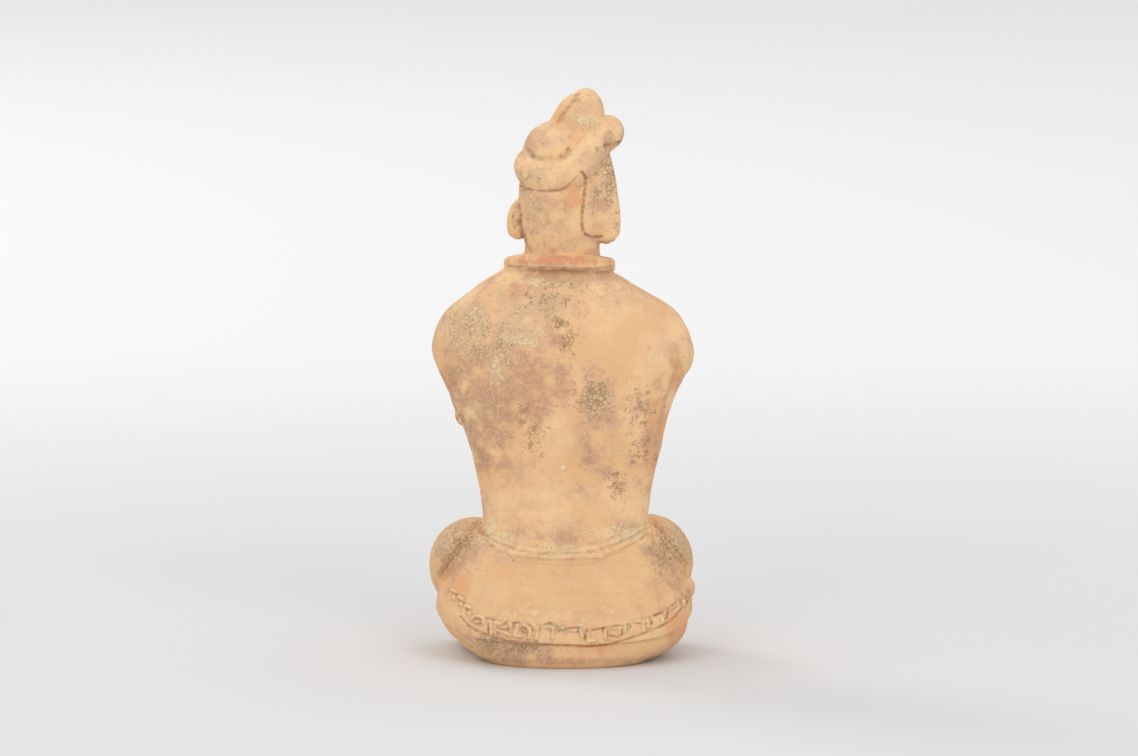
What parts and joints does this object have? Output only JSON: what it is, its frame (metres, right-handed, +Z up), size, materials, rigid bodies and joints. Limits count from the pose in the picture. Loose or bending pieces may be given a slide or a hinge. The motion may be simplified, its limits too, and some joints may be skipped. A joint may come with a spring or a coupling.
{
  "type": "seated priest figure",
  "caption": "Hand-modelled clay figure sitting cross-legged with folded arms, a rolled collar, a wound turban with a hanging tail, and a hip cloth with a stamped fret hem.",
  "frame": {"origin": "middle of the figure's bounding box, on the flat underside that it stands on", "axes": "+Z up from the underside to the turban's peak, -Y the way the face looks, +X to the figure's left"},
  "size_m": [0.1166, 0.104, 0.2507],
  "materials": {
    "clay": "matt fired clay, unglazed and weathered"
  },
  "bodies": {
    "root": {"seated_figure": "clay"}
  },
  "joints": []
}
